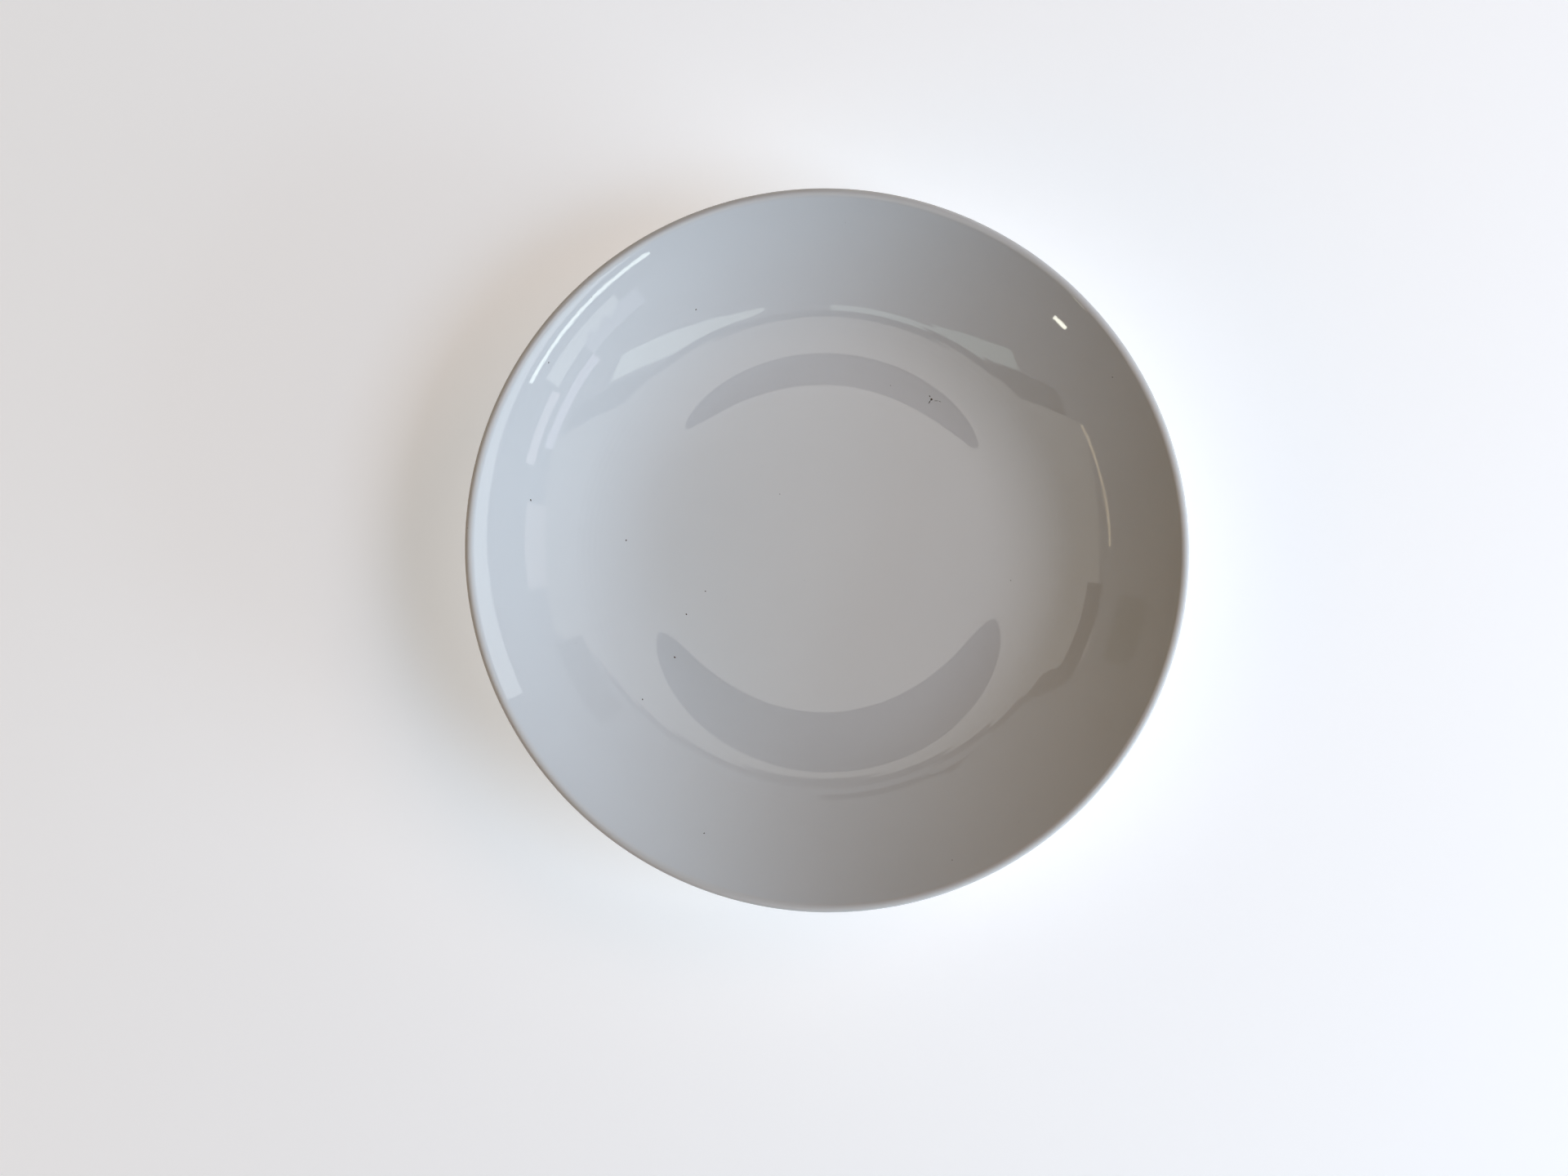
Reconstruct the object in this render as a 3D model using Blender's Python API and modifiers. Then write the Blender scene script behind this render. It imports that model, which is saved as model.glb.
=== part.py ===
"""Evaporating dish: a wide, shallow porcelain dish, jiggered in one piece over a low foot ring.

Units are metres, with +Z up. The origin is the centre of the foot ring's ground face, so the dish
stands on z = 0. The section of the dish is drawn in the XZ half plane and turned about Z.
"""

import math

import bpy

# Overall sizes
RIM_DIAMETER = 0.210
OVERALL_HEIGHT = 0.044

# Wall thickness, which tapers evenly from the floor to the rim
FLOOR_THICKNESS = 0.0046
RIM_THICKNESS = 0.0028

# Inside: a gently dished floor, a round cove, then a side that steepens up to the rim
FLOOR_DIAMETER = 0.094
FLOOR_DISHING = math.radians(3)
COVE_RADIUS = 0.046
COVE_START_SLOPE = math.radians(12)
COVE_END_SLOPE = math.radians(40)

# Foot ring under the edge of the floor
FOOT_DIAMETER = 0.106
FOOT_FACE_WIDTH = 0.0032
FOOT_HEIGHT = 0.0030
FOOT_SIDE_DRAFT = math.radians(12)
FOOT_ROOT_FILLET = 0.0012
FOOT_EDGE_RADIUS = 0.0006

# How finely the round stretches are drawn
STEPS_AROUND = 72
FLOOR_STEPS = 8
COVE_STEPS = 6
SIDE_STEPS = 6
LIP_STEPS = 8
CORNER_STEPS = 3

MERGE_DISTANCE = 0.00001

PORCELAIN_COLOUR = (0.86, 0.87, 0.86, 1.0)
GLAZE_ROUGHNESS = 0.06


def clear_scene():
    """Remove the objects of the scene that Blender starts with."""
    for thing in list(bpy.data.objects):
        bpy.data.objects.remove(thing, do_unlink=True)


def cove_point(mid_height, slope):
    """Middle of the wall where the cove has a slope, as (radius, height, slope).

    The cove is an arc about a centre over the floor's nominal edge, where a flat floor would end.
    """
    bend = COVE_RADIUS + FLOOR_THICKNESS / 2
    return (FLOOR_DIAMETER / 2 + bend * math.sin(slope), mid_height + bend * (1 - math.cos(slope)), slope)


def floor_line(mid_height):
    """Middle of the floor's thickness from the axis out to the cove, as (radius, height, slope).

    The floor's slope grows evenly by the dishing, and by a sixth power that blends into the cove.
    """
    join_radius, join_height, join_slope = cove_point(mid_height, COVE_START_SLOPE)
    sweep = join_slope - FLOOR_DISHING
    line = []
    for step in range(FLOOR_STEPS):
        share = step / FLOOR_STEPS
        drop = join_radius * (FLOOR_DISHING * (1 - share**2) / 2 + sweep * (1 - share**7) / 7)
        line.append((share * join_radius, join_height - drop, FLOOR_DISHING * share + sweep * share**6))
    return line


def cove_line(mid_height):
    """Middle of the wall round the cove, from where the floor joins it to its end slope."""
    sweep = COVE_END_SLOPE - COVE_START_SLOPE
    slopes = [COVE_START_SLOPE + sweep * step / COVE_STEPS for step in range(COVE_STEPS + 1)]
    return [cove_point(mid_height, slope) for slope in slopes]


def side_line(start):
    """Middle of the side: one arc that leaves the cove on its slope and ends at the lip's centre.

    The arc is followed by its chords from the start. Each chord's angle above the start slope grows
    evenly, and its length is the arc's, which also holds where the side comes out straight.
    """
    start_radius, start_height, start_slope = start
    run = RIM_DIAMETER / 2 - RIM_THICKNESS / 2 - start_radius
    rise = OVERALL_HEIGHT - RIM_THICKNESS / 2 - start_height
    chord = math.hypot(run, rise)
    turn = math.atan2(rise, run) - start_slope
    line = []
    for step in range(1, SIDE_STEPS + 1):
        share = step / SIDE_STEPS
        reach = chord * (math.sin(share * turn) / math.sin(turn) if abs(turn) > 1e-9 else share)
        angle = start_slope + share * turn
        line.append(
            (
                start_radius + reach * math.cos(angle),
                start_height + reach * math.sin(angle),
                start_slope + 2 * share * turn,
            )
        )
    return line


def thickness_at(radius):
    """Thickness of the wall at a distance from the axis."""
    floor_edge = FLOOR_DIAMETER / 2
    lip_centre = RIM_DIAMETER / 2 - RIM_THICKNESS / 2
    share = min(max((radius - floor_edge) / (lip_centre - floor_edge), 0), 1)
    return FLOOR_THICKNESS + share * (RIM_THICKNESS - FLOOR_THICKNESS)


def offset(line, side):
    """The line moved square to itself by half the wall: side is 1 for the inside, -1 for the outside."""
    moved = []
    for radius, height, slope in line:
        half = side * thickness_at(radius) / 2
        moved.append((max(radius - half * math.sin(slope), 0.0), height + half * math.cos(slope)))
    return moved


def lip(end):
    """The rounded lip: a half circle over the end of the wall, from the inside to the outside."""
    radius, height, slope = end
    points = []
    for step in range(1, LIP_STEPS):
        angle = slope + math.pi / 2 - math.pi * step / LIP_STEPS
        points.append(
            (
                radius + RIM_THICKNESS / 2 * math.cos(angle),
                height + RIM_THICKNESS / 2 * math.sin(angle),
            )
        )
    return points


def height_on(line, radius):
    """Height of a line of (radius, height) points at a radius between two of them."""
    for (r0, z0), (r1, z1) in zip(line, line[1:]):
        if min(r0, r1) <= radius <= max(r0, r1):
            return z0 + (z1 - z0) * (radius - r0) / (r1 - r0)
    raise ValueError("the foot ring lies outside the underside")


def rounded(before, corner, after, radius):
    """An arc of a radius in place of a corner, no longer than half of either side of the corner."""
    to_before = (before[0] - corner[0], before[1] - corner[1])
    to_after = (after[0] - corner[0], after[1] - corner[1])
    length_before = math.hypot(*to_before)
    length_after = math.hypot(*to_after)
    half_angle = 0.5 * math.acos(
        (to_before[0] * to_after[0] + to_before[1] * to_after[1]) / (length_before * length_after)
    )
    tangent = min(radius / math.tan(half_angle), 0.5 * length_before, 0.5 * length_after)
    fitted = tangent * math.tan(half_angle)
    start = tuple(corner[i] + to_before[i] * tangent / length_before for i in (0, 1))
    end = tuple(corner[i] + to_after[i] * tangent / length_after for i in (0, 1))
    middle = tuple((start[i] + end[i]) / 2 for i in (0, 1))
    reach = fitted / math.sin(half_angle) / math.hypot(middle[0] - corner[0], middle[1] - corner[1])
    centre = tuple(corner[i] + (middle[i] - corner[i]) * reach for i in (0, 1))
    first = math.atan2(start[1] - centre[1], start[0] - centre[0])
    last = math.atan2(end[1] - centre[1], end[0] - centre[0])
    sweep = (last - first + math.pi) % (2 * math.pi) - math.pi
    return [
        (
            centre[0] + fitted * math.cos(first + sweep * step / CORNER_STEPS),
            centre[1] + fitted * math.sin(first + sweep * step / CORNER_STEPS),
        )
        for step in range(CORNER_STEPS + 1)
    ]


def foot_ring(underside):
    """Section of the foot ring, from its outer root to its inner root, below an underside line."""
    root_radius = FOOT_DIAMETER / 2
    root_height = height_on(underside, root_radius)
    face_outer = root_radius - root_height * math.tan(FOOT_SIDE_DRAFT)
    face_inner = face_outer - FOOT_FACE_WIDTH
    inner_radius = face_inner - FOOT_HEIGHT * math.tan(FOOT_SIDE_DRAFT)
    inner_height = height_on(underside, inner_radius)
    reach = 2 * FOOT_ROOT_FILLET
    corners = [
        (root_radius + reach, height_on(underside, root_radius + reach)),
        (root_radius, root_height),
        (face_outer, 0.0),
        (face_inner, 0.0),
        (inner_radius, inner_height),
        (inner_radius - reach, height_on(underside, inner_radius - reach)),
    ]
    radii = [FOOT_ROOT_FILLET, FOOT_EDGE_RADIUS, FOOT_EDGE_RADIUS, FOOT_ROOT_FILLET]
    section = []
    for index, radius in enumerate(radii):
        section += rounded(corners[index], corners[index + 1], corners[index + 2], radius)
    return section


def dish_section():
    """Whole section: out along the inside, over the lip, in along the underside and its foot ring."""
    mid_height = FOOT_HEIGHT + FLOOR_THICKNESS / 2
    floor = floor_line(mid_height)
    cove = cove_line(mid_height)
    middle = floor + cove + side_line(cove[-1])
    inside = offset(middle, 1)
    underside = offset(middle, -1)[::-1]
    foot = foot_ring(underside)
    outer_part = [point for point in underside if point[0] > foot[0][0] + MERGE_DISTANCE]
    inner_part = [point for point in underside if point[0] < foot[-1][0] - MERGE_DISTANCE]
    return inside + lip(middle[-1]) + outer_part + foot + inner_part


def porcelain():
    """White porcelain under a clear, glossy glaze."""
    material = bpy.data.materials.new("glazed_porcelain")
    material.use_nodes = True
    shader = material.node_tree.nodes["Principled BSDF"]
    shader.inputs["Base Color"].default_value = PORCELAIN_COLOUR
    shader.inputs["Roughness"].default_value = GLAZE_ROUGHNESS
    shader.inputs["Metallic"].default_value = 0.0
    return material


def turned(name, section, collection):
    """A solid turned about Z from an open section that starts and ends on the axis."""
    mesh = bpy.data.meshes.new(name)
    points = [(radius, 0.0, height) for radius, height in section]
    edges = [(index, index + 1) for index in range(len(points) - 1)]
    mesh.from_pydata(points, edges, [])
    solid = bpy.data.objects.new(name, mesh)
    collection.objects.link(solid)
    screw = solid.modifiers.new("turn", "SCREW")
    screw.axis = "Z"
    screw.angle = 2 * math.pi
    screw.steps = STEPS_AROUND
    screw.render_steps = STEPS_AROUND
    screw.use_merge_vertices = True
    screw.merge_threshold = MERGE_DISTANCE
    screw.use_smooth_shade = True
    return solid


def main():
    clear_scene()
    collection = bpy.data.collections.new("evaporating_dish")
    bpy.context.scene.collection.children.link(collection)
    dish = turned("dish", dish_section(), collection)
    dish.data.materials.append(porcelain())


main()
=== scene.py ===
import math

import bpy
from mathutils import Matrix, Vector


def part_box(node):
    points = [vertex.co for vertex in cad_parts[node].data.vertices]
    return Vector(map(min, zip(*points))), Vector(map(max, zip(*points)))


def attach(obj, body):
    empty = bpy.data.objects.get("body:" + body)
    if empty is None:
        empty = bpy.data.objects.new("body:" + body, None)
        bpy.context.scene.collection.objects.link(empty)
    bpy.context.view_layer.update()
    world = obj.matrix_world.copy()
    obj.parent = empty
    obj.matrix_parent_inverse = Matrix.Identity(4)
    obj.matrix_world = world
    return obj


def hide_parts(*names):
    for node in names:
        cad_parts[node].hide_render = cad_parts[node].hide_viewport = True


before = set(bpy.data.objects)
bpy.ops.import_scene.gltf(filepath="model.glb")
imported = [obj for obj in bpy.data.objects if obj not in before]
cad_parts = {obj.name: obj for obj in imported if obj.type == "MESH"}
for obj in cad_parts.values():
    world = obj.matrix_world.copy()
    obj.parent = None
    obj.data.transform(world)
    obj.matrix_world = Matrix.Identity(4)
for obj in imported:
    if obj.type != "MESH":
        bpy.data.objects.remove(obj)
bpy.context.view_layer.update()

# ---------------------------------------------------------------------------------------------
# The dish: one piece of white porcelain. It is jiggered on a plaster mould, which forms the
# inside, while a template shapes the underside and draws up the foot ring. It is fired, then
# fired again under a clear glaze, which covers all of it but the foot's ground face.
# ---------------------------------------------------------------------------------------------

dish_low, dish_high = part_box("dish")
SURFACE_PLAY = 0.00006
RIM_RADIUS = dish_high.x - SURFACE_PLAY
DISH_HEIGHT = dish_high.z - SURFACE_PLAY
FLOOR_THICKNESS = 0.0046
LIP_THICKNESS = 0.0028
FLOOR_RADIUS = 0.047
FLOOR_DISHING = math.radians(3)
COVE_RADIUS = 0.046
COVE_START_SLOPE = math.radians(12)
COVE_END_SLOPE = math.radians(40)
FOOT_RADIUS = 0.053
FOOT_FACE_WIDTH = 0.0032
FOOT_HEIGHT = 0.0030
FOOT_SIDE_DRAFT = math.radians(12)
FOOT_ROOT_FILLET = 0.0012
FOOT_EDGE_RADIUS = 0.0006
GLAZE_EDGE_LIFT = 0.00015
OVAL_SHARE = 0.003
OVAL_TURN = math.radians(135)
STEPS_ROUND = 360
MERGE_DISTANCE = 0.000002
JOIN_CLEARANCE = 0.0001


def wall_middle(floor_steps, cove_steps, side_steps):
    """Middle of the wall from the axis to the lip's centre, as (radius, height, slope)."""
    bend = COVE_RADIUS + FLOOR_THICKNESS / 2
    join_radius = FLOOR_RADIUS + bend * math.sin(COVE_START_SLOPE)
    join_height = FOOT_HEIGHT + FLOOR_THICKNESS / 2 + bend * (1 - math.cos(COVE_START_SLOPE))
    sweep = COVE_START_SLOPE - FLOOR_DISHING
    line = []
    for step in range(floor_steps):
        share = step / floor_steps
        slope = FLOOR_DISHING * share + sweep * share**6
        drop = join_radius * (FLOOR_DISHING * (1 - share**2) / 2 + sweep * (1 - share**7) / 7)
        line.append((share * join_radius, join_height - drop, slope))
    for step in range(cove_steps + 1):
        slope = COVE_START_SLOPE + (COVE_END_SLOPE - COVE_START_SLOPE) * step / cove_steps
        radius = FLOOR_RADIUS + bend * math.sin(slope)
        height = FOOT_HEIGHT + FLOOR_THICKNESS / 2 + bend * (1 - math.cos(slope))
        line.append((radius, height, slope))
    start_radius, start_height, start_slope = line[-1]
    run = RIM_RADIUS - LIP_THICKNESS / 2 - start_radius
    rise = DISH_HEIGHT - LIP_THICKNESS / 2 - start_height
    turn = math.atan2(rise, run) - start_slope
    for step in range(1, side_steps + 1):
        share = step / side_steps
        reach = math.hypot(run, rise) * math.sin(share * turn) / math.sin(turn)
        angle = start_slope + share * turn
        radius = start_radius + reach * math.cos(angle)
        height = start_height + reach * math.sin(angle)
        line.append((radius, height, start_slope + 2 * share * turn))
    return line


def wall_face(middle, side):
    """One face of the wall, which tapers from floor to lip: side is 1 inside and -1 outside."""
    lip_centre = RIM_RADIUS - LIP_THICKNESS / 2
    face = []
    for radius, height, slope in middle:
        share = min(max((radius - FLOOR_RADIUS) / (lip_centre - FLOOR_RADIUS), 0), 1)
        half = side * (FLOOR_THICKNESS + share * (LIP_THICKNESS - FLOOR_THICKNESS)) / 2
        face.append((max(radius - half * math.sin(slope), 0.0), height + half * math.cos(slope)))
    return face


def lip_round(end, steps):
    """The lip's half circle, from the inside over to the outside."""
    radius, height, slope = end
    half = LIP_THICKNESS / 2
    angles = [slope + math.pi / 2 - math.pi * step / steps for step in range(1, steps)]
    return [(radius + half * math.cos(a), height + half * math.sin(a)) for a in angles]


def height_at(line, radius):
    """Height of a line of (radius, height) points at a radius."""
    for (r0, z0), (r1, z1) in zip(line, line[1:]):
        if min(r0, r1) <= radius <= max(r0, r1):
            return z0 + (z1 - z0) * (radius - r0) / (r1 - r0)
    raise ValueError("the radius is off the line")


def rounded(before, corner, after, radius, steps):
    """An arc in place of a corner between two straight runs, as (radius, height) points."""
    corner = Vector(corner)
    to_before = (Vector(before) - corner).normalized()
    to_after = (Vector(after) - corner).normalized()
    half = to_before.angle(to_after) / 2
    middle = (to_before + to_after).normalized()
    centre = corner + middle * radius / math.sin(half)
    start = corner + to_before * radius / math.tan(half) - centre
    end = corner + to_after * radius / math.tan(half) - centre
    first = math.atan2(start.y, start.x)
    sweep = (math.atan2(end.y, end.x) - first + math.pi) % (2 * math.pi) - math.pi
    angles = [first + sweep * step / steps for step in range(steps + 1)]
    return [(centre.x + radius * math.cos(a), centre.y + radius * math.sin(a)) for a in angles]


def foot_section(underside, face_height):
    """The glazed foot ring, from its outer root down, across its face and up to its inner root."""
    root_height = height_at(underside, FOOT_RADIUS)
    face_outer = FOOT_RADIUS - root_height * math.tan(FOOT_SIDE_DRAFT)
    face_inner = face_outer - FOOT_FACE_WIDTH
    inner_radius = face_inner - FOOT_HEIGHT * math.tan(FOOT_SIDE_DRAFT)
    reach = 2 * FOOT_ROOT_FILLET
    corners = [
        (FOOT_RADIUS + reach, height_at(underside, FOOT_RADIUS + reach)),
        (FOOT_RADIUS, root_height),
        (face_outer, face_height),
        (face_inner, face_height),
        (inner_radius, height_at(underside, inner_radius)),
        (inner_radius - reach, height_at(underside, inner_radius - reach)),
    ]
    fillets = [FOOT_ROOT_FILLET, FOOT_EDGE_RADIUS, FOOT_EDGE_RADIUS, FOOT_ROOT_FILLET]
    section = []
    for index, fillet in enumerate(fillets):
        section += rounded(*corners[index : index + 3], fillet, steps=7)
    return section


def drawn_section(name, section):
    """An object that holds a section's (radius, height) points as an edge line in the XZ plane."""
    mesh = bpy.data.meshes.new(name)
    edges = [(index, index + 1) for index in range(len(section) - 1)]
    mesh.from_pydata([(radius, 0.0, height) for radius, height in section], edges, [])
    piece = bpy.data.objects.new(name, mesh)
    bpy.context.scene.collection.objects.link(piece)
    return piece


def add(tree, kind, inputs=None, **settings):
    """A new node: its settings, then its inputs, each a value or the socket that feeds it."""
    node = tree.nodes.new(kind)
    for name, value in settings.items():
        setattr(node, name, value)
    for key, value in (inputs or {}).items():
        if isinstance(value, bpy.types.NodeSocket):
            tree.links.new(value, node.inputs[key])
        else:
            node.inputs[key].default_value = value
    return node


def maths(tree, operation, *values):
    """The result of one Math node on up to three values or sockets."""
    return add(tree, "ShaderNodeMath", dict(enumerate(values)), operation=operation).outputs[0]


def mixed(tree, share, first, second):
    """The colour between two. A Mix node's colours are its inputs 6 and 7 and its output 2."""
    return add(tree, "ShaderNodeMix", {0: share, 6: first, 7: second}, data_type="RGBA").outputs[2]


def new_tree(name, kind, inputs, outputs):
    """A node group with named sockets: its tree, its inputs' sockets by name, and its output node."""
    tree = bpy.data.node_groups.new(name, kind)
    for label, (socket_type, default) in inputs.items():
        socket = tree.interface.new_socket(label, in_out="INPUT", socket_type=socket_type)
        if default is not None:
            socket.default_value = default
    for label, socket_type in outputs.items():
        tree.interface.new_socket(label, in_out="OUTPUT", socket_type=socket_type)
    return tree, add(tree, "NodeGroupInput").outputs, add(tree, "NodeGroupOutput")


def turned_ware_tree():
    """Turns a section round Z, as on the wheel, with the small faults that turning and firing leave."""
    tree, given, result = new_tree(
        "turned_ware",
        "GeometryNodeTree",
        {
            "Section": ("NodeSocketGeometry", None),
            "Steps Round": ("NodeSocketInt", 360),
            "Oval Share": ("NodeSocketFloat", 0.0),
            "Oval Turn": ("NodeSocketFloat", 0.0),
            "Ripple Height": ("NodeSocketFloat", 0.0),
            "Ripple Size": ("NodeSocketFloat", 0.01),
            "Ring Height": ("NodeSocketFloat", 0.0),
            "Ring Pitch": ("NodeSocketFloat", 0.001),
            "Ring Start": ("NodeSocketFloat", 0.0),
            "Ring End": ("NodeSocketFloat", 0.001),
            "Seed": ("NodeSocketFloat", 0.0),
            "Finish": ("NodeSocketMaterial", None),
        },
        {"Ware": "NodeSocketGeometry"},
    )
    columns = maths(tree, "ADD", given["Steps Round"], 1.0)
    points = add(tree, "GeometryNodeAttributeDomainSize", {"Geometry": given["Section"]})
    sheet = add(
        tree,
        "GeometryNodeMeshGrid",
        {"Vertices X": points.outputs["Point Count"], "Vertices Y": columns},
    )
    index = add(tree, "GeometryNodeInputIndex").outputs[0]
    row = maths(tree, "FLOOR", maths(tree, "DIVIDE", index, columns))
    column = maths(tree, "SUBTRACT", index, maths(tree, "MULTIPLY", row, columns))
    place = add(
        tree,
        "GeometryNodeSampleIndex",
        {
            "Geometry": given["Section"],
            "Value": add(tree, "GeometryNodeInputPosition").outputs[0],
            "Index": row,
        },
        data_type="FLOAT_VECTOR",
    )
    section_point = add(tree, "ShaderNodeSeparateXYZ", {0: place.outputs["Value"]}).outputs
    angle = maths(tree, "DIVIDE", maths(tree, "MULTIPLY", column, 2 * math.pi), given["Steps Round"])
    twice = maths(tree, "MULTIPLY", maths(tree, "SUBTRACT", angle, given["Oval Turn"]), 2.0)
    oval = maths(tree, "MULTIPLY", maths(tree, "COSINE", twice), given["Oval Share"])
    radius = maths(tree, "MULTIPLY", section_point["X"], maths(tree, "ADD", oval, 1.0))
    turned_point = add(
        tree,
        "ShaderNodeCombineXYZ",
        {
            "X": maths(tree, "MULTIPLY", radius, maths(tree, "COSINE", angle)),
            "Y": maths(tree, "MULTIPLY", radius, maths(tree, "SINE", angle)),
            "Z": section_point["Z"],
        },
    )
    turned = add(
        tree,
        "GeometryNodeSetPosition",
        {"Geometry": sheet.outputs["Mesh"], "Position": turned_point.outputs[0]},
    )
    closed = add(
        tree,
        "GeometryNodeMergeByDistance",
        {"Geometry": turned.outputs[0], "Distance": MERGE_DISTANCE},
    )
    noise = add(
        tree,
        "ShaderNodeTexNoise",
        {
            "W": given["Seed"],
            "Scale": maths(tree, "DIVIDE", 1.0, given["Ripple Size"]),
            "Detail": 1.0,
        },
        noise_dimensions="4D",
    )
    ripple = maths(tree, "MULTIPLY", maths(tree, "SUBTRACT", noise.outputs[0], 0.5), 2.0)
    ripple = maths(tree, "MULTIPLY", ripple, given["Ripple Height"])
    place_now = add(tree, "GeometryNodeInputPosition").outputs[0]
    flat = add(tree, "ShaderNodeVectorMath", {0: place_now, 1: (1, 1, 0)}, operation="MULTIPLY")
    reach = add(tree, "ShaderNodeVectorMath", {0: flat.outputs[0]}, operation="LENGTH").outputs["Value"]
    share = maths(tree, "SUBTRACT", reach, given["Ring Start"])
    width = maths(tree, "SUBTRACT", given["Ring End"], given["Ring Start"])
    share = add(tree, "ShaderNodeClamp", {0: maths(tree, "DIVIDE", share, width)}).outputs[0]
    swell = maths(tree, "SINE", maths(tree, "MULTIPLY", share, math.pi))
    wave = maths(tree, "DIVIDE", maths(tree, "MULTIPLY", reach, 2 * math.pi), given["Ring Pitch"])
    rings = maths(tree, "MULTIPLY", maths(tree, "SINE", wave), maths(tree, "MULTIPLY", swell, swell))
    rings = maths(tree, "MULTIPLY", rings, given["Ring Height"])
    normal = add(tree, "GeometryNodeInputNormal").outputs[0]
    push = add(
        tree,
        "ShaderNodeVectorMath",
        {0: normal, "Scale": maths(tree, "ADD", ripple, rings)},
        operation="SCALE",
    )
    fired = add(
        tree,
        "GeometryNodeSetPosition",
        {"Geometry": closed.outputs[0], "Offset": push.outputs[0]},
    )
    smooth = add(tree, "GeometryNodeSetShadeSmooth", {"Geometry": fired.outputs[0]})
    real = add(tree, "GeometryNodeRealizeInstances", {"Geometry": smooth.outputs[0]})
    finished = add(
        tree,
        "GeometryNodeSetMaterial",
        {"Geometry": real.outputs[0], "Material": given["Finish"]},
    )
    tree.links.new(finished.outputs[0], result.inputs["Ware"])
    return tree


def shape_with(piece, tree, values):
    """Run a tree on a piece with its inputs set by name, and keep the result as the plain mesh."""
    modifier = piece.modifiers.new(tree.name, "NODES")
    modifier.node_group = tree
    for item in tree.interface.items_tree:
        if item.item_type == "SOCKET" and item.in_out == "INPUT" and item.name in values:
            modifier[item.identifier] = values[item.name]
    drawn = piece.data
    evaluated = piece.evaluated_get(bpy.context.evaluated_depsgraph_get())
    piece.data = bpy.data.meshes.new_from_object(evaluated)
    piece.modifiers.clear()
    bpy.data.meshes.remove(drawn)
    piece.data.name = piece.name


def kiln_tone_group():
    """Colour that drifts softly between two tones, as thickness and the kiln's heat vary."""
    tree, given, result = new_tree(
        "kiln_tone",
        "ShaderNodeTree",
        {
            "Place": ("NodeSocketVector", None),
            "Main": ("NodeSocketColor", (0.8, 0.8, 0.8, 1)),
            "Drift": ("NodeSocketColor", (0.7, 0.7, 0.7, 1)),
            "Amount": ("NodeSocketFloat", 0.5),
            "Patch Size": ("NodeSocketFloat", 0.03),
        },
        {"Colour": "NodeSocketColor"},
    )
    clouds = add(
        tree,
        "ShaderNodeTexNoise",
        {
            "Vector": given["Place"],
            "Scale": maths(tree, "DIVIDE", 1.0, given["Patch Size"]),
            "Detail": 3.0,
            "Roughness": 0.6,
        },
    )
    share = maths(tree, "MULTIPLY", clouds.outputs[0], given["Amount"])
    tree.links.new(mixed(tree, share, given["Main"], given["Drift"]), result.inputs["Colour"])
    return tree


def surface_grain_group():
    """Height of a fine, uneven surface: soft swells with a finer grain over them."""
    tree, given, result = new_tree(
        "surface_grain",
        "ShaderNodeTree",
        {
            "Place": ("NodeSocketVector", None),
            "Swell Size": ("NodeSocketFloat", 0.004),
            "Grain Size": ("NodeSocketFloat", 0.0006),
            "Grain Share": ("NodeSocketFloat", 0.2),
        },
        {"Height": "NodeSocketFloat"},
    )
    heights = []
    for size in ("Swell Size", "Grain Size"):
        noise = add(
            tree,
            "ShaderNodeTexNoise",
            {
                "Vector": given["Place"],
                "Scale": maths(tree, "DIVIDE", 1.0, given[size]),
                "Detail": 2.0,
            },
        )
        heights.append(noise.outputs[0])
    grain = maths(tree, "MULTIPLY", heights[1], given["Grain Share"])
    tree.links.new(maths(tree, "ADD", heights[0], grain), result.inputs["Height"])
    return tree


def placed_group(tree, group, inputs):
    """A node of a shader group, with its inputs set."""
    return add(tree, "ShaderNodeGroup", inputs, node_tree=group)


def new_finish(name, roughness, ior):
    """A material with its Principled BSDF: (material, node tree, shader, place on the piece)."""
    material = bpy.data.materials.new(name)
    material.use_nodes = True
    tree = material.node_tree
    shader = tree.nodes["Principled BSDF"]
    shader.inputs["Roughness"].default_value = roughness
    shader.inputs["IOR"].default_value = ior
    return material, tree, shader, add(tree, "ShaderNodeTexCoord").outputs["Object"]


kiln_tone = kiln_tone_group()
surface_grain = surface_grain_group()

GLAZE_WHITE = (0.80, 0.81, 0.80, 1)
GLAZE_GREY = (0.74, 0.755, 0.75, 1)
# Painted shade: the darker, warmer tone on the top band of the lip, where the lip turns away from the
# light.
PAINTED_LIP_SHADE = (0.76, 0.72, 0.66, 1)
LIP_SHADE_BAND = 0.0012
CLEAN_ROUGHNESS = 0.018
WIPED_ROUGHNESS = 0.06


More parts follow.
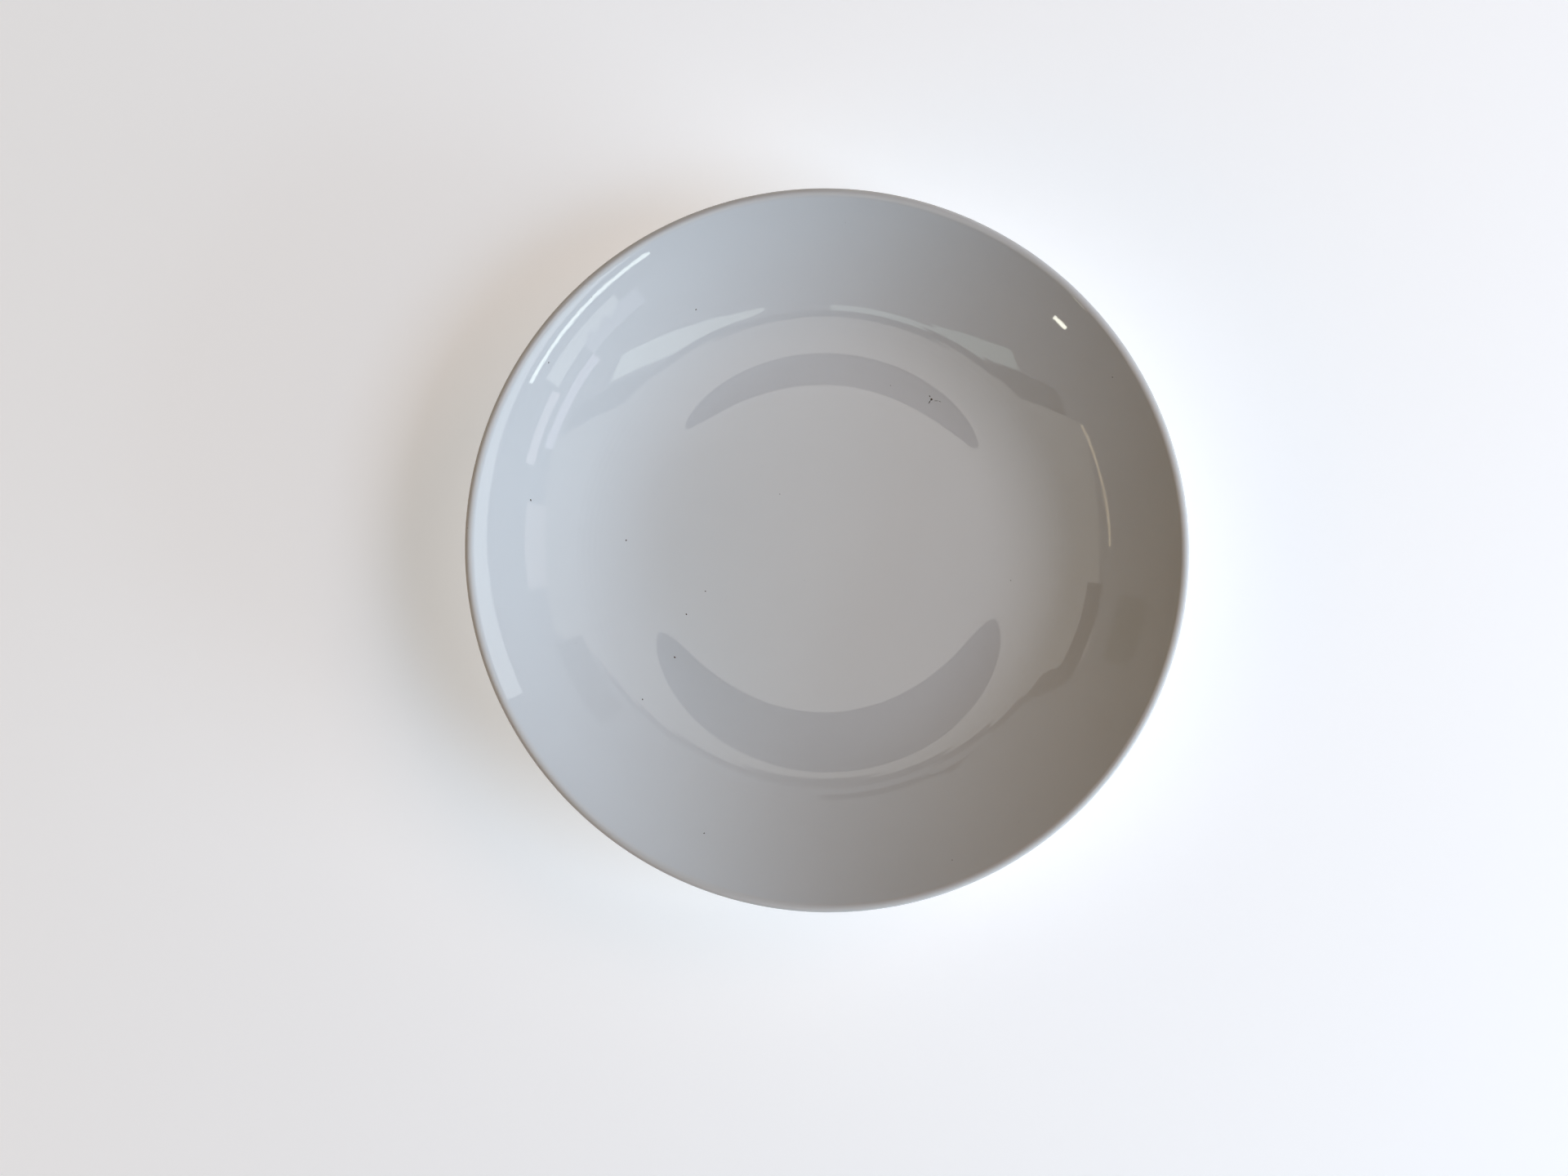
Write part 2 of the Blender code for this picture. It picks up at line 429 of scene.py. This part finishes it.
def glazed_porcelain():
    """Clear gloss glaze over white porcelain, with painted shade on the lip: a darker, warmer band round
    its top.
    """
    material, tree, shader, place = new_finish("glazed_porcelain", roughness=0.05, ior=1.52)
    tone = placed_group(
        tree,
        kiln_tone,
        {
            "Place": place,
            "Main": GLAZE_WHITE,
            "Drift": GLAZE_GREY,
            "Amount": 0.6,
            "Patch Size": 0.035,
        },
    )
    height = add(tree, "ShaderNodeSeparateXYZ", {0: place}).outputs["Z"]
    # Painted shade: the colour blends towards the darker, warmer lip tone over the top band of the lip.
    lip = add(
        tree,
        "ShaderNodeMapRange",
        {"Value": height, 1: DISH_HEIGHT - LIP_SHADE_BAND, 2: DISH_HEIGHT, 3: 0.0, 4: 0.45},
        interpolation_type="SMOOTHSTEP",
    )
    colour = mixed(tree, lip.outputs[0], tone.outputs["Colour"], PAINTED_LIP_SHADE)
    tree.links.new(colour, shader.inputs["Base Color"])
    smudge = add(
        tree,
        "ShaderNodeTexNoise",
        {"Vector": place, "Scale": 28.0, "Detail": 5.0, "Roughness": 0.65, "Distortion": 0.8},
    )
    wiped = add(
        tree,
        "ShaderNodeMapRange",
        {"Value": smudge.outputs[0], 1: 0.5, 2: 0.8, 3: CLEAN_ROUGHNESS, 4: WIPED_ROUGHNESS},
    )
    tree.links.new(wiped.outputs[0], shader.inputs["Roughness"])
    grain = placed_group(
        tree,
        surface_grain,
        {"Place": place, "Swell Size": 0.006, "Grain Size": 0.0011, "Grain Share": 0.12},
    )
    bump = add(
        tree,
        "ShaderNodeBump",
        {"Height": grain.outputs["Height"], "Strength": 1.0, "Distance": 0.000004},
    )
    tree.links.new(bump.outputs[0], shader.inputs["Normal"])
    return material


turned_ware = turned_ware_tree()
fine_middle = wall_middle(floor_steps=60, cove_steps=56, side_steps=60)
coarse_middle = wall_middle(floor_steps=30, cove_steps=20, side_steps=34)
inside = wall_face(fine_middle, 1)
underside = wall_face(coarse_middle, -1)[::-1]
foot = foot_section(underside, GLAZE_EDGE_LIFT)
outer_part = [point for point in underside if point[0] > foot[0][0] + JOIN_CLEARANCE]
inner_part = [point for point in underside if point[0] < foot[-1][0] - JOIN_CLEARANCE]
dish_section = inside + lip_round(fine_middle[-1], steps=16) + outer_part + foot + inner_part

dish = drawn_section("porcelain_dish", dish_section)
shape_with(
    dish,
    turned_ware,
    {
        "Steps Round": STEPS_ROUND,
        "Oval Share": OVAL_SHARE,
        "Oval Turn": OVAL_TURN,
        "Ripple Height": 0.00001,
        "Ripple Size": 0.02,
        "Ring Height": 0.000006,
        "Ring Pitch": 0.0016,
        "Ring Start": 0.066,
        "Ring End": 0.080,
        "Seed": 3.0,
        "Finish": glazed_porcelain(),
    },
)
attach(dish, "root")
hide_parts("dish")

# ---------------------------------------------------------------------------------------------
# The bare foot face: the same porcelain, where the glaze was wiped off so that the dish wouldn't
# stick to the kiln shelf. It was then ground flat, and stands a little proud of the glaze.
# ---------------------------------------------------------------------------------------------

BARE_MARGIN = 0.0003
BARE_DEPTH = 0.0012
BARE_EDGE = 0.00012

foot_outer = FOOT_RADIUS - height_at(underside, FOOT_RADIUS) * math.tan(FOOT_SIDE_DRAFT) - BARE_MARGIN
foot_inner = foot_outer + 2 * BARE_MARGIN - FOOT_FACE_WIDTH
bare_section = [
    (foot_inner, BARE_DEPTH),
    (foot_outer, BARE_DEPTH),
    *rounded((foot_outer, BARE_DEPTH), (foot_outer, 0.0), (foot_inner, 0.0), BARE_EDGE, steps=4),
    *rounded((foot_outer, 0.0), (foot_inner, 0.0), (foot_inner, BARE_DEPTH), BARE_EDGE, steps=4),
    (foot_inner, BARE_DEPTH),
]


def bare_porcelain():
    """Unglazed porcelain: matt, faintly toasted by the kiln, with a fine ground grain."""
    material, tree, shader, place = new_finish("bare_porcelain", roughness=0.8, ior=1.45)
    tone = placed_group(
        tree,
        kiln_tone,
        {
            "Place": place,
            "Main": (0.78, 0.74, 0.67, 1),
            "Drift": (0.52, 0.46, 0.38, 1),
            "Amount": 0.8,
            "Patch Size": 0.006,
        },
    )
    tree.links.new(tone.outputs["Colour"], shader.inputs["Base Color"])
    grain = placed_group(
        tree,
        surface_grain,
        {"Place": place, "Swell Size": 0.0012, "Grain Size": 0.0003, "Grain Share": 1.0},
    )
    bump = add(
        tree,
        "ShaderNodeBump",
        {"Height": grain.outputs["Height"], "Strength": 1.0, "Distance": 0.00008},
    )
    tree.links.new(bump.outputs[0], shader.inputs["Normal"])
    return material


bare_foot = drawn_section("bare_foot_face", bare_section)
shape_with(
    bare_foot,
    turned_ware,
    {
        "Steps Round": STEPS_ROUND,
        "Oval Share": OVAL_SHARE,
        "Oval Turn": OVAL_TURN,
        "Finish": bare_porcelain(),
    },
)
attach(bare_foot, "root")

# ---------------------------------------------------------------------------------------------
# The iron specks: grains of iron in the clay and the kiln that melted into dark, flat blots in
# the glaze. One small cluster has short threads about it, and the others lie where they fell.
# ---------------------------------------------------------------------------------------------

CLUSTER_RADIUS = 0.059
CLUSTER_TURN = math.radians(55)
CLUSTER = [  # out, round (mm), width (mm), length over width, turn (degrees)
    (0, 0, 0.7, 1.1, 20),
    (0.5, 1, 0.35, 1.5, 130),
    (-1, 0, 0.3, 4, 60),
    (0.5, -1.5, 0.15, 9, 0),
    (1, -2.5, 0.15, 5, 150),
]


def speck_tree():
    """Flat blots on a surface: at given spots by their own sizes, and at chance by a density."""
    tree, given, result = new_tree(
        "specks_in_glaze",
        "GeometryNodeTree",
        {
            "Spots": ("NodeSocketGeometry", None),
            "Ware": ("NodeSocketObject", None),
            "Chance Density": ("NodeSocketFloat", 300.0),
            "Chance Width": ("NodeSocketFloat", 0.0002),
            "Height": ("NodeSocketFloat", 0.00002),
            "Raggedness": ("NodeSocketFloat", 0.3),
            "Seed": ("NodeSocketInt", 0),
            "Finish": ("NodeSocketMaterial", None),
        },
        {"Specks": "NodeSocketGeometry"},
    )
    ware = add(tree, "GeometryNodeObjectInfo", {"Object": given["Ware"]}).outputs["Geometry"]
    scatter = add(
        tree,
        "GeometryNodeDistributePointsOnFaces",
        {"Mesh": ware, "Density": given["Chance Density"], "Seed": given["Seed"]},
    )
    chance = add(
        tree,
        "FunctionNodeRandomValue",
        {2: 0.3, 3: 1.0, "Seed": given["Seed"]},
        data_type="FLOAT",
    )
    points = scatter.outputs["Points"]
    for name, value in (
        ("width", maths(tree, "MULTIPLY", chance.outputs[1], given["Chance Width"])),
        ("stretch", maths(tree, "ADD", chance.outputs[1], 0.5)),
        ("turn", maths(tree, "MULTIPLY", chance.outputs[1], 40.0)),
    ):
        stored = add(
            tree,
            "GeometryNodeStoreNamedAttribute",
            {"Geometry": points, "Name": name, "Value": value},
            data_type="FLOAT",
            domain="POINT",
        )
        points = stored.outputs[0]
    spots = add(tree, "GeometryNodeMeshToPoints", {"Mesh": given["Spots"]})
    both = add(tree, "GeometryNodeJoinGeometry")
    tree.links.new(spots.outputs[0], both.inputs[0])
    tree.links.new(points, both.inputs[0])
    foothold = add(tree, "GeometryNodeProximity", {"Geometry": ware}, target_element="FACES")
    seated = add(
        tree,
        "GeometryNodeSetPosition",
        {"Geometry": both.outputs[0], "Position": foothold.outputs["Position"]},
    )
    normal = add(
        tree,
        "GeometryNodeSampleNearestSurface",
        {"Mesh": ware, "Value": add(tree, "GeometryNodeInputNormal").outputs[0]},
        data_type="FLOAT_VECTOR",
    )
    upright = add(tree, "FunctionNodeAlignRotationToVector", {"Vector": normal.outputs[0]}, axis="Z")
    own = {}
    for name in ("width", "stretch", "turn"):
        own[name] = add(
            tree, "GeometryNodeInputNamedAttribute", {"Name": name}, data_type="FLOAT"
        ).outputs[0]
    spin = add(
        tree,
        "FunctionNodeAxisAngleToRotation",
        {"Axis": (0, 0, 1), "Angle": own["turn"]},
    )
    facing = add(
        tree,
        "FunctionNodeRotateRotation",
        {"Rotation": upright.outputs[0], "Rotate By": spin.outputs[0]},
        rotation_space="LOCAL",
    )
    half = maths(tree, "MULTIPLY", own["width"], 0.5)
    size = add(
        tree,
        "ShaderNodeCombineXYZ",
        {"X": maths(tree, "MULTIPLY", half, own["stretch"]), "Y": half, "Z": given["Height"]},
    )
    blot = add(tree, "GeometryNodeMeshIcoSphere", {"Radius": 1.0, "Subdivisions": 3})
    placed = add(
        tree,
        "GeometryNodeInstanceOnPoints",
        {
            "Points": seated.outputs[0],
            "Instance": blot.outputs[0],
            "Rotation": facing.outputs[0],
            "Scale": size.outputs[0],
        },
    )
    real = add(tree, "GeometryNodeRealizeInstances", {"Geometry": placed.outputs[0]})
    ragged = add(
        tree,
        "ShaderNodeTexNoise",
        {"Scale": 4000.0, "Detail": 1.0},
        noise_dimensions="3D",
    )
    middle = add(
        tree,
        "ShaderNodeVectorMath",
        {0: ragged.outputs["Color"], 1: (0.5, 0.5, 0.5)},
        operation="SUBTRACT",
    )
    reach = maths(tree, "MULTIPLY", own["width"], given["Raggedness"])
    push = add(tree, "ShaderNodeVectorMath", {0: middle.outputs[0], "Scale": reach}, operation="SCALE")
    flat = add(tree, "ShaderNodeVectorMath", {0: push.outputs[0], 1: (1, 1, 0)}, operation="MULTIPLY")
    worn = add(tree, "GeometryNodeSetPosition", {"Geometry": real.outputs[0], "Offset": flat.outputs[0]})
    smooth = add(tree, "GeometryNodeSetShadeSmooth", {"Geometry": worn.outputs[0]})
    whole = add(tree, "GeometryNodeRealizeInstances", {"Geometry": smooth.outputs[0]})
    finished = add(
        tree,
        "GeometryNodeSetMaterial",
        {"Geometry": whole.outputs[0], "Material": given["Finish"]},
    )
    tree.links.new(finished.outputs[0], result.inputs["Specks"])
    return tree


def iron_speck():
    """Iron melted in glaze: nearly black, browner where it is thin, and as glossy as the glaze."""
    material, tree, shader, place = new_finish("iron_speck", roughness=0.12, ior=1.55)
    tone = placed_group(
        tree,
        kiln_tone,
        {
            "Place": place,
            "Main": (0.045, 0.035, 0.028, 1),
            "Drift": (0.14, 0.09, 0.055, 1),
            "Amount": 0.7,
            "Patch Size": 0.0004,
        },
    )
    tree.links.new(tone.outputs["Colour"], shader.inputs["Base Color"])
    return material


def spots_on(name, line, spots):
    """Points of the cluster on a turned surface, with widths, stretches and turns as attributes."""
    mesh = bpy.data.meshes.new(name)
    places = []
    for out, round_by, *_ in spots:
        radius = CLUSTER_RADIUS + out / 1000
        angle = CLUSTER_TURN + round_by / 1000 / CLUSTER_RADIUS
        places.append((radius * math.cos(angle), radius * math.sin(angle), height_at(line, radius)))
    mesh.from_pydata(places, [], [])
    columns = {
        "width": [spot[2] / 1000 for spot in spots],
        "stretch": [spot[3] for spot in spots],
        "turn": [math.radians(spot[4]) for spot in spots],
    }
    for key, values in columns.items():
        mesh.attributes.new(key, "FLOAT", "POINT").data.foreach_set("value", values)
    piece = bpy.data.objects.new(name, mesh)
    bpy.context.scene.collection.objects.link(piece)
    return piece


specks = spots_on("iron_specks", inside, CLUSTER)
shape_with(
    specks,
    speck_tree(),
    {
        "Ware": dish,
        "Chance Density": 500.0,
        "Chance Width": 0.00045,
        "Height": 0.00002,
        "Raggedness": 0.35,
        "Seed": 11,
        "Finish": iron_speck(),
    },
)
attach(specks, "root")

# ---------------------------------------------------------------------------------------------
# The studio: a plain pale floor, soft daylight from one side and the white and black cards that
# a glossy glaze needs about it. None of it is part of the dish.
# ---------------------------------------------------------------------------------------------

FLOOR_REACH = 12.0
FLOOR_DROP = 0.0002

floor_mesh = bpy.data.meshes.new("studio_floor")
floor_corners = ((-1, -1), (1, -1), (1, 1), (-1, 1))
floor_mesh.from_pydata(
    [(x * FLOOR_REACH, y * FLOOR_REACH, -FLOOR_DROP) for x, y in floor_corners], [], [(0, 1, 2, 3)]
)
studio_floor = bpy.data.objects.new("studio_floor", floor_mesh)
bpy.context.scene.collection.objects.link(studio_floor)
floor_paint, floor_tree, floor_shader, floor_place = new_finish("floor_paint", roughness=0.9, ior=1.3)
floor_shader.inputs["Base Color"].default_value = (0.9, 0.9, 0.9, 1)
floor_shader.inputs["Emission Color"].default_value = (0.98, 0.99, 1.0, 1)
floor_away = add(floor_tree, "ShaderNodeVectorMath", {0: floor_place}, operation="LENGTH")
floor_glow = add(
    floor_tree,
    "ShaderNodeMapRange",
    {"Value": floor_away.outputs["Value"], 1: 0.2, 2: 2.2, 3: 0.4, 4: 0.8},
    interpolation_type="SMOOTHSTEP",
)
floor_tree.links.new(floor_glow.outputs[0], floor_shader.inputs["Emission Strength"])
floor_mesh.materials.append(floor_paint)

world = bpy.data.worlds.new("studio_air")
bpy.context.scene.world = world
world.use_nodes = True
air = world.node_tree.nodes["Background"].inputs
air["Color"].default_value = (0.95, 0.97, 1.0, 1)
seen = add(world.node_tree, "ShaderNodeLightPath").outputs["Is Camera Ray"]
world.node_tree.links.new(maths(world.node_tree, "MULTIPLY", seen, 0.8), air["Strength"])


def toward(azimuth, elevation, distance):
    """A point at a distance from the dish. Azimuth is from +X round to +Y, both in degrees."""
    a, e = math.radians(azimuth), math.radians(elevation)
    return Vector((math.cos(a) * math.cos(e), math.sin(a) * math.cos(e), math.sin(e))) * distance


def soft_light(name, azimuth, elevation, colour, radiance, width=0.7, height=0.5):
    """An area light that faces the dish and that the glaze doesn't mirror: the cards do that."""
    lamp = bpy.data.lights.new(name, "AREA")
    lamp.shape = "RECTANGLE"
    lamp.size, lamp.size_y = width, height
    lamp.color = colour
    lamp.energy = radiance * math.pi * width * height
    light = bpy.data.objects.new(name, lamp)
    light.location = toward(azimuth, elevation, 1.5)
    light.rotation_euler = light.location.to_track_quat("Z", "Y").to_euler()
    light.visible_camera = False
    light.visible_glossy = False
    bpy.context.scene.collection.objects.link(light)


soft_light("daylight_low", -18, 15, (0.6, 0.8, 1), 8.5)
soft_light("daylight_middle", -18, 30, (1, 1, 1), 2.5)
soft_light("daylight_high", -18, 50, (0.65, 0.8, 1), 7)
soft_light("room_right", 30, 45, (1, 0.7, 0.55), 3.5)
soft_light("room_back", 150, 30, (1, 0.9, 0.5), 1)
soft_light("room_left", 210, 30, (1, 0.45, 0.05), 1.75)


OVAL_STEPS = 64
BAND_STEP = 4
RISE_REACH = 3.0


def mirrored_card(name, points, faces, colour, radiance, rise=0.0):
    """A glowing card that only the glaze mirrors. It can be brighter overhead, by a rise in radiance
    that fades away from the middle."""
    glow = bpy.data.materials.new(name)
    glow.use_nodes = True
    tree = glow.node_tree
    tree.nodes.clear()
    light = add(tree, "ShaderNodeEmission", {"Color": (*colour, 1), "Strength": radiance})
    if rise:
        place = add(tree, "ShaderNodeTexCoord").outputs["Object"]
        level = add(tree, "ShaderNodeVectorMath", {0: place, 1: (1, 1, 0)}, operation="MULTIPLY")
        away = add(tree, "ShaderNodeVectorMath", {0: level.outputs[0]}, operation="LENGTH")
        fade = add(
            tree,
            "ShaderNodeMapRange",
            {"Value": away.outputs["Value"], 1: 0.0, 2: RISE_REACH, 3: radiance + rise, 4: radiance},
            interpolation_type="SMOOTHSTEP",
        )
        tree.links.new(fade.outputs[0], light.inputs["Strength"])
    out = add(tree, "ShaderNodeOutputMaterial")
    tree.links.new(light.outputs[0], out.inputs["Surface"])
    glow.cycles.emission_sampling = "NONE"
    mesh = bpy.data.meshes.new(name)
    mesh.from_pydata(points, [], faces)
    mesh.materials.append(glow)
    card = bpy.data.objects.new(name, mesh)
    bpy.context.scene.collection.objects.link(card)
    for ray in ("camera", "diffuse", "transmission", "volume_scatter", "shadow"):
        setattr(card, "visible_" + ray, False)


def level_panel(name, height, across, along, colour, radiance, rise=0.0):
    """A level rectangle over the dish, by its two x and its two y."""
    (x0, x1), (y0, y1) = across, along
    points = [(x0, y0, height), (x1, y0, height), (x1, y1, height), (x0, y1, height)]
    mirrored_card(name, points, [(0, 1, 2, 3)], colour, radiance, rise)


def level_oval(name, height, centre, half_sizes, colour, radiance):
    """A level oval over the dish."""
    points = []
    for step in range(OVAL_STEPS):
        angle = 2 * math.pi * step / OVAL_STEPS
        x = centre[0] + half_sizes[0] * math.cos(angle)
        points.append((x, centre[1] + half_sizes[1] * math.sin(angle), height))
    mirrored_card(name, points, [tuple(range(OVAL_STEPS))], colour, radiance)


def upright_band(name, azimuths, elevations, colour, radiance, distance=1.5):
    """A band that stands round the dish, between two azimuths and two elevations in degrees."""
    first, last = azimuths
    steps = max(1, round((last - first) / BAND_STEP))
    points = []
    for step in range(steps + 1):
        azimuth = first + (last - first) * step / steps
        points += [toward(azimuth, elevation, distance) for elevation in elevations]
    faces = [(2 * step, 2 * step + 2, 2 * step + 3, 2 * step + 1) for step in range(steps)]
    mirrored_card(name, points, faces, colour, radiance)


# Overhead: a pale ceiling with a dark cornice on two sides, dull walls, and light above the windows
WIDE = 70.0
level_panel("walls", 1.64, (-WIDE, WIDE), (-WIDE, WIDE), (0.92, 0.97, 1), 0.6)
level_panel("cornice_north", 1.62, (-4, 4), (1, 2.4), (1, 0.8, 0.6), 0.1)
level_panel("cornice_south", 1.62, (-4, 5.5), (-2.8, -1), (0.8, 1, 0.8), 0.05)
level_panel("shelf_north", 1.61, (-2, 0.2), (3, 3.6), (1, 1, 1), 0.0)
level_panel("ceiling", 1.60, (-4.5, 6), (-2.2, 1.9), (1, 0.98, 0.9), 1.1, rise=0.6)
level_panel("transom_left", 1.60, (1, 4), (-3.6, -2.9), (0.9, 1, 0.95), 2.7)
level_panel("transom_right", 1.60, (-3, 0), (-3.3, -2.8), (0.85, 1, 0.95), 2.1)

# The windows: panes of daylight, and the bright sill below them
upright_band("pane_far_low", (308, 322), (11, 14), (0.88, 0.9, 1), 1.6)
upright_band("pane_far_high", (322, 342), (14, 15.5), (0.9, 0.88, 1), 2.6)
upright_band("pane_middle_low", (312, 331), (9.5, 12), (0.95, 1, 0.98), 2.4)
upright_band("pane_middle_high", (332, 346), (11.5, 13), (1, 0.95, 1), 2.5)
upright_band("pane_near", (303, 333), (7.2, 7.8), (0.9, 1, 0.95), 8.0)
upright_band("bright_sill", (268, 386), (-1, 5.5), (0.95, 1, 1), 2.6, distance=2.5)
upright_band("window_right", (353, 369), (13, 16.5), (1, 0.93, 0.9), 1.7)

# Round the other sides: dark shelves, a cupboard, a thin rail and one small bare lamp
upright_band("cupboard", (20, 38), (15, 20), (1, 0.9, 0.6), 0.1)
upright_band("shelf_high", (150, 172), (20, 22.5), (0.6, 1, 0.9), 0.0)
upright_band("shelf_low", (157, 170), (12, 17), (0.85, 1, 0.95), 0.3)
upright_band("rail", (180, 206), (19, 19.4), (1, 0.85, 0.6), 3.6)
upright_band("lamp", (223, 226), (11.8, 12.4), (1, 1, 0.85), 18.0)

# Just over the dish: a dark oval board on either side of the camera
level_oval("board_behind", 1.20, (0, 0.62), (0.6, 0.53), (0.7, 0.9, 1), 0.05)
level_oval("board_before", 1.20, (0, -0.34), (0.36, 0.24), (1, 1, 1), 0.0)

CAMERA_RISE = 0.400
CAMERA_ASIDE = (-0.01245, -0.0109)

camera = bpy.data.cameras.new("camera")
camera.lens = 31.8
camera.sensor_width = 36
viewer = bpy.data.objects.new("camera", camera)
viewer.location = (*CAMERA_ASIDE, dish_high.z + CAMERA_RISE)
bpy.context.scene.collection.objects.link(viewer)
bpy.context.scene.camera = viewer
bpy.context.scene.view_settings.view_transform = "Standard"
